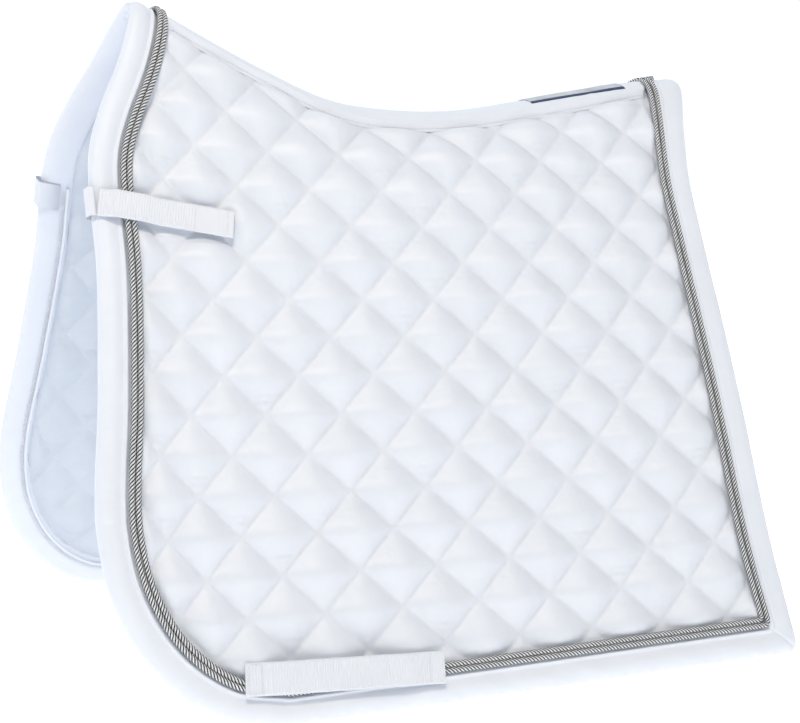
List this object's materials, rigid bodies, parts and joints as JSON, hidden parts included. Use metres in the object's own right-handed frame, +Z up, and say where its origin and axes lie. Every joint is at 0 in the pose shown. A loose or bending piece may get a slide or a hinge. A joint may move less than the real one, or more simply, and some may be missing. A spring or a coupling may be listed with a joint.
{
  "type": "saddle pad",
  "caption": "Quilted padded saddle pad, two square-cut flaps joined along a spine, with padded border, twisted trim cord, front straps and girth loops.",
  "frame": {"origin": "the horse's back under the lowest point of the pad's spine, 8 mm below the underside of the cloth there", "axes": "+X towards the horse's tail, +Y towards its right side (far flap), +Z up"},
  "size_m": [0.6055, 0.4904, 0.5333],
  "materials": {
    "satin_white": "shiny white satin weave, quilted over wadding on the cover, smooth over foam on the border",
    "lining_white": "soft white brushed lining with a faint blue cast, quilted in the same diamonds",
    "wadding": "polyester wadding and border foam, hidden inside",
    "binding_white": "satin tape along the spine, sewn down both long edges",
    "cord_silver": "two strands twisted, metallic silver and gunmetal thread",
    "piping_white": "thin white piping along the inner seam of the border",
    "webbing_white": "white polyester webbing with fine ribs along it",
    "hook_and_loop": "white hook and loop fastener patches",
    "label_navy": "small blank woven tab, navy with silver edge thread, no lettering"
  },
  "bodies": {
    "spine_ridge": {"far_croup_border": "satin_white", "far_croup_cord_inner": "cord_silver", "far_croup_cord_outer": "cord_silver", "far_ridge_cover": "satin_white", "far_ridge_lining": "lining_white", "far_ridge_wadding": "wadding", "far_withers_border": "satin_white", "far_withers_cord_inner": "cord_silver", "far_withers_cord_outer": "cord_silver", "near_croup_border": "satin_white", "near_croup_cord_inner": "cord_silver", "near_croup_cord_outer": "cord_silver", "near_ridge_cover": "satin_white", "near_ridge_lining": "lining_white", "near_ridge_wadding": "wadding", "near_withers_border": "satin_white", "near_withers_cord_inner": "cord_silver", "near_withers_cord_outer": "cord_silver", "spine_binding": "binding_white", "spine_label": "label_navy", "spine_lining_tape": "binding_white"},
    "near_flap": {"near_border_foam": "wadding", "near_bottom_border": "satin_white", "near_flap_cover": "satin_white", "near_flap_lining": "lining_white", "near_flap_wadding": "wadding", "near_front_border": "satin_white", "near_girth_loop": "webbing_white", "near_hem_piping": "piping_white", "near_rear_border": "satin_white", "near_strap_anchor": "webbing_white", "near_strap_loop_patch": "hook_and_loop", "near_trim_cord_inner": "cord_silver", "near_trim_cord_outer": "cord_silver"},
    "near_front_strap": {"near_strap_webbing": "webbing_white", "near_strap_hook_patch": "hook_and_loop"},
    "far_flap": {"far_border_foam": "wadding", "far_bottom_border": "satin_white", "far_flap_cover": "satin_white", "far_flap_lining": "lining_white", "far_flap_wadding": "wadding", "far_front_border": "satin_white", "far_girth_loop": "webbing_white", "far_hem_piping": "piping_white", "far_rear_border": "satin_white", "far_strap_anchor": "webbing_white", "far_strap_loop_patch": "hook_and_loop", "far_trim_cord_inner": "cord_silver", "far_trim_cord_outer": "cord_silver"},
    "far_front_strap": {"far_strap_webbing": "webbing_white", "far_strap_hook_patch": "hook_and_loop"}
  },
  "joints": [
    {"name": "near_fold", "type": "hinge", "parent": "spine_ridge", "child": "near_flap", "pos_m": [0, -0.07432, -0.0328], "axis": [-1, 0, 0], "range_deg": [-20, 65]},
    {"name": "near_strap_fold", "type": "hinge", "parent": "near_flap", "child": "near_front_strap", "pos_m": [-0.31013, -0.07554, -0.04826], "axis": [0, -0.3281, -0.9446], "range_deg": [0, 150]},
    {"name": "far_fold", "type": "hinge", "parent": "spine_ridge", "child": "far_flap", "pos_m": [0, 0.07432, -0.0328], "axis": [1, 0, 0], "range_deg": [-20, 65]},
    {"name": "far_strap_fold", "type": "hinge", "parent": "far_flap", "child": "far_front_strap", "pos_m": [-0.31013, 0.07554, -0.04826], "axis": [0, -0.3281, 0.9446], "range_deg": [0, 150]}
  ]
}
